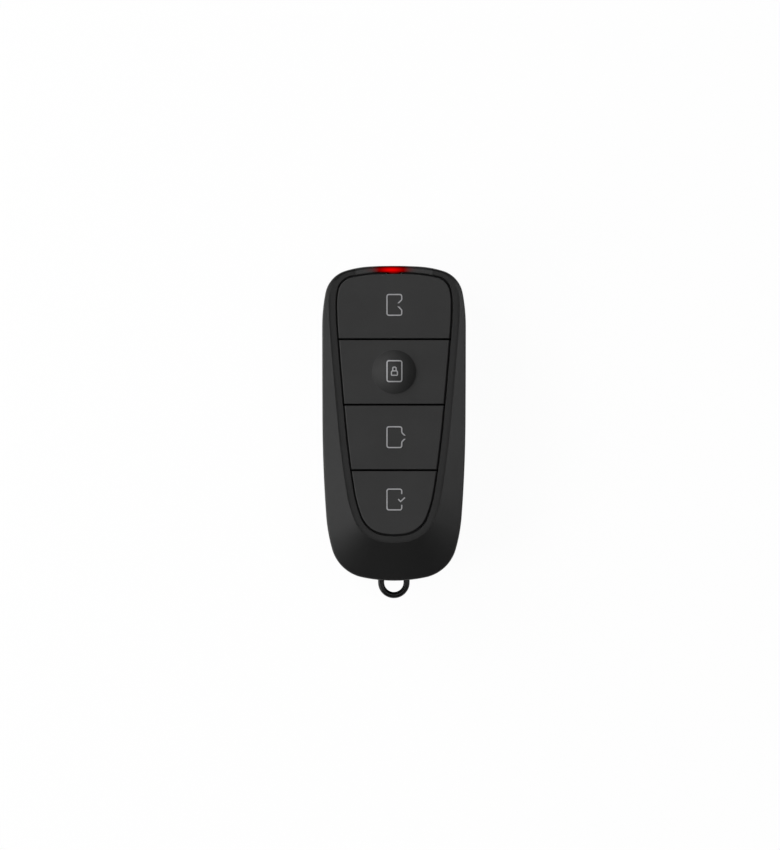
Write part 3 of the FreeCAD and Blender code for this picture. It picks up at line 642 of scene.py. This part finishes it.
# Inner parts

class FinishBoard(bpy.types.Operator):
    """Solder mask and copper for the circuit board and its aerial strip"""

    bl_idname = "remote.finish_board"
    bl_label = "Finish Circuit Board"

    def execute(self, context):
        mask = Finish("solder_mask", coat_weight=0.5, coat_roughness=0.15)
        x, y, z = mask.axes()
        weave = mask.noise(0.5 * MM, 2.0, (1, 3, 1))
        cells = mask.add("ShaderNodeTexVoronoi",
                         {"distance": "CHEBYCHEV", "feature": "DISTANCE_TO_EDGE"},
                         {"Vector": mask.place, "Scale": 1 / (2.4 * MM), "Randomness": 0.6})
        tracks = cells < 0.06
        green = mask.mix(weave, (0.006, 0.055, 0.022), (0.01, 0.075, 0.03))
        mask.set("Base Color", mask.mix(tracks, green, (0.02, 0.13, 0.05)))
        mask.set("Roughness", weave * 0.12 + 0.28)
        mask.bump(tracks * 0.5 + weave * 0.2, 0.02 * MM)
        mask.put_on(NODES["circuit_board"])
        copper = metal("bare_copper", (0.72, 0.36, 0.2), 0.34, 0.2 * MM, (1, 5, 1))
        copper.put_on(NODES["aerial_strip"])
        return {"FINISHED"}


class FinishSwitches(bpy.types.Operator):
    """Black base, pressed steel cover, snap dome and plunger of the four switches"""

    bl_idname = "remote.finish_switches"
    bl_label = "Finish Switches"

    def execute(self, context):
        base = moulded("switch_plastic", (0.02,) * 3, 0.5, 0.1 * MM, 0.004 * MM)
        cover = metal("pressed_steel", (0.6, 0.6, 0.62), 0.32, 0.1 * MM, (1, 6, 1))
        dome = metal("spring_steel", (0.68, 0.67, 0.64), 0.22, 0.12 * MM)
        plunger = moulded("plunger_plastic", (0.75, 0.72, 0.66), 0.45, 0.1 * MM, 0.004 * MM)
        for name in KEYS:
            base.put_on(NODES["switch_base_" + name])
            cover.put_on(NODES["switch_cover_" + name])
            dome.put_on(NODES["switch_dome_" + name])
            plunger.put_on(NODES["switch_plunger_" + name])
        return {"FINISHED"}


class FinishMembrane(bpy.types.Operator):
    """Soft black silicone for the keypad membrane"""

    bl_idname = "remote.finish_membrane"
    bl_label = "Finish Keypad Membrane"

    def execute(self, context):
        silicone = moulded("silicone", (0.004, 0.004, 0.0042), 0.7, 0.3 * MM, 0.008 * MM,
                           specular_ior_level=0.1)
        silicone.put_on(NODES["keypad_membrane"])
        return {"FINISHED"}


class FinishChips(bpy.types.Operator):
    """Moulded chips, the crystal's can and the ceramic parts"""

    bl_idname = "remote.finish_chips"
    bl_label = "Finish Chips"

    def execute(self, context):
        epoxy = moulded("chip_epoxy", (0.018, 0.018, 0.02), 0.55, 0.08 * MM, 0.006 * MM)
        epoxy.put_on(NODES["controller_chip"], NODES["radio_chip"])
        can = metal("crystal_can", (0.66, 0.66, 0.68), 0.28, 0.12 * MM, (6, 1, 1))
        can.put_on(NODES["crystal"])
        parts = Finish("ceramic_parts")
        x, y, z = parts.axes()
        grain = parts.noise(0.08 * MM, 2.0)
        body = parts.mix(grain, (0.30, 0.20, 0.12), (0.40, 0.28, 0.17))
        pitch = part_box("chip_parts")
        step = (pitch[1].x - pitch[0].x - 0.6 * MM) / 7
        local = parts.add("ShaderNodeMath", {"operation": "PINGPONG"},
                          {0: x - pitch[0].x - 0.3 * MM, 1: step / 2})
        plated = local > 0.15 * MM
        parts.set("Base Color", parts.mix(plated, body, (0.55, 0.55, 0.56)))
        parts.set("Metallic", plated * 0.9)
        parts.set("Roughness", grain * 0.2 + 0.35)
        parts.put_on(NODES["chip_parts"])
        return {"FINISHED"}


class FinishBattery(bpy.types.Operator):
    """Nickelled coin cell, its holder and its two contacts"""

    bl_idname = "remote.finish_battery"
    bl_label = "Finish Battery"

    def execute(self, context):
        cell = Finish("nickelled_steel", metallic=1.0)
        x, y, z = cell.axes()
        centre = middle("battery_cell")
        across = x - centre.x
        along = y - centre.y
        radius = (across * across + along * along) ** 0.5
        rings = cell.add("ShaderNodeMath", {"operation": "SINE"}, {0: radius / (0.012 * MM)})
        clouds = cell.noise(4 * MM, 4.0)
        cell.set("Base Color", cell.mix(clouds, (0.56, 0.55, 0.53), (0.7, 0.69, 0.67)))
        cell.set("Roughness", rings * 0.05 + clouds * 0.1 + 0.2)
        cell.bump(rings, 0.4e-6)
        cell.put_on(NODES["battery_cell"])
        holder = moulded("holder_plastic", (0.72, 0.71, 0.68), 0.48, 0.2 * MM, 0.006 * MM)
        holder.put_on(NODES["battery_holder"])
        spring = metal("contact_steel", (0.66, 0.65, 0.62), 0.27, 0.14 * MM, (1, 6, 1))
        spring.put_on(NODES["battery_positive_clip"])
        gold = metal("gilt_contact", (0.83, 0.62, 0.3), 0.25, 0.14 * MM)
        gold.put_on(NODES["battery_negative_contact"])
        return {"FINISHED"}


# Studio

def softbox(name, place, side, brightness, target):
    """Square lamp whose face has the given brightness (1 is white)."""
    lamp = bpy.data.lights.new(name, "AREA")
    lamp.shape = "SQUARE"
    lamp.size = side
    lamp.energy = math.pi * side * side * brightness
    item = bpy.data.objects.new(name, lamp)
    bpy.context.scene.collection.objects.link(item)
    item.location = place
    item.rotation_euler = (Vector(target) - Vector(place)).to_track_quat("-Z", "Y").to_euler()
    item.visible_camera = False
    return item


class SetStudio(bpy.types.Operator):
    """White sweep, soft panels and the camera straight above"""

    bl_idname = "remote.set_studio"
    bl_label = "Set Studio"

    def execute(self, context):
        studio = context.scene.remote_studio
        self.sweep(studio)
        aim = Vector((0.0, 0.0, 0.01))
        for name, (azimuth, elevation, brightness) in {**PANELS, **FILL_PANELS}.items():
            turn, rise = math.radians(azimuth), math.radians(elevation)
            way = Vector((math.cos(rise) * math.cos(turn), math.cos(rise) * math.sin(turn),
                          math.sin(rise)))
            lamp = softbox(name, aim + way * studio.distance, studio.panel,
                           brightness * studio.light, aim)
            lamp.visible_glossy = name in PANELS
        world = bpy.data.worlds.new("room")
        context.scene.world = world
        world.use_nodes = True
        sky = world.node_tree.nodes["Background"]
        sky.inputs["Color"].default_value = (1, 1, 1, 1)
        rays = world.node_tree.nodes.new("ShaderNodeLightPath")
        world.node_tree.links.new(rays.outputs["Is Camera Ray"], sky.inputs["Strength"])
        self.camera(context.scene, studio)
        return {"FINISHED"}

    def sweep(self, studio):
        """Round white floor whose edge turns up into a low wall, clear when seen from below."""
        deselect()
        radius = studio.floor_radius
        bpy.ops.mesh.primitive_circle_add(vertices=96, radius=radius, fill_type="NGON",
                                          location=(0, 0, -0.02 * MM))
        floor = bpy.context.object
        floor.name = "floor"
        bpy.ops.object.mode_set(mode="EDIT")
        bpy.ops.mesh.select_all(action="SELECT")
        bpy.ops.mesh.inset(thickness=0.3)
        bpy.ops.mesh.select_all(action="DESELECT")
        pick(floor.data, "VERT", lambda place: place.length > radius - 0.1)
        bpy.ops.transform.translate(value=(0, 0, studio.floor_wall))
        bpy.ops.object.mode_set(mode="OBJECT")
        paper = Finish("white_paper", roughness=0.9)
        fibre = paper.noise(40 * MM, 2.0)
        paper.set("Base Color", paper.mix(fibre, (0.92,) * 3, (0.95,) * 3))
        rays = paper.add("ShaderNodeLightPath")
        seen = [Socket(paper, rays.output.node.outputs[name])
                for name in ("Is Camera Ray", "Is Glossy Ray", "Is Transmission Ray")]
        white = paper.add("ShaderNodeEmission", sockets={"Strength": 1.0})
        lit = Socket(paper, paper.shader.outputs[0])
        factor = (seen[0] + seen[1] + seen[2]).clamped() * studio.floor_white
        top = paper.add("ShaderNodeMixShader", sockets={0: factor, 1: lit, 2: white})
        geometry = paper.add("ShaderNodeNewGeometry")
        under = Socket(paper, geometry.output.node.outputs["Backfacing"])
        clear = paper.add("ShaderNodeBsdfTransparent")
        blend = paper.add("ShaderNodeMixShader", sockets={0: seen[0] * under, 1: top, 2: clear})
        out = paper.tree.nodes["Material Output"]
        paper.feed(out.inputs["Surface"], blend)
        paper.put_on(floor)

    def camera(self, scene, studio):
        """Long lens almost straight above the keys."""
        sensor = 36.0
        data = bpy.data.cameras.new("camera")
        data.lens = studio.lens
        data.sensor_width = sensor
        distance = studio.frame_height * studio.lens / sensor
        camera = bpy.data.objects.new("camera", data)
        scene.collection.objects.link(camera)
        lean = math.radians(studio.lean)
        camera.location = (studio.aim_x + distance * math.sin(lean), studio.aim_y,
                           distance * math.cos(lean) + studio.sight)
        camera.rotation_euler = (0, lean, 0)
        scene.camera = camera
        scene.view_settings.view_transform = "Standard"


PIECES = (FinishCase, FinishKeys, FinishLoop, FinishScrews, FinishLightGuide, PrintMarks,
          FinishBoard, FinishSwitches, FinishMembrane, FinishChips, FinishBattery, SetStudio)
GROUPS = {"remote_finish": RemoteFinish, "remote_marks": RemoteMarks,
          "remote_lamp": RemoteLamp, "remote_studio": RemoteStudio}


class RemotePanel(bpy.types.Panel):
    """Sizes, colours and steps of the remote"""

    bl_idname = "VIEW3D_PT_remote"
    bl_label = "Turnstile Remote"
    bl_space_type = "VIEW_3D"
    bl_region_type = "UI"
    bl_category = "Remote"

    def draw(self, context):
        for name, group in GROUPS.items():
            box = self.layout.box()
            for prop in group.__annotations__:
                box.prop(getattr(context.scene, name), prop)
        for piece in PIECES:
            self.layout.operator(piece.bl_idname)


CLASSES = (*GROUPS.values(), *PIECES, RemotePanel)


def register():
    for item in CLASSES:
        bpy.utils.register_class(item)
    for name, group in GROUPS.items():
        setattr(bpy.types.Scene, name, PointerProperty(type=group))


def unregister():
    for name in GROUPS:
        delattr(bpy.types.Scene, name)
    for item in reversed(CLASSES):
        bpy.utils.unregister_class(item)


def main():
    register()
    for piece in PIECES:
        group, name = piece.bl_idname.split(".")
        getattr(getattr(bpy.ops, group), name)()


if __name__ == "__main__":
    main()
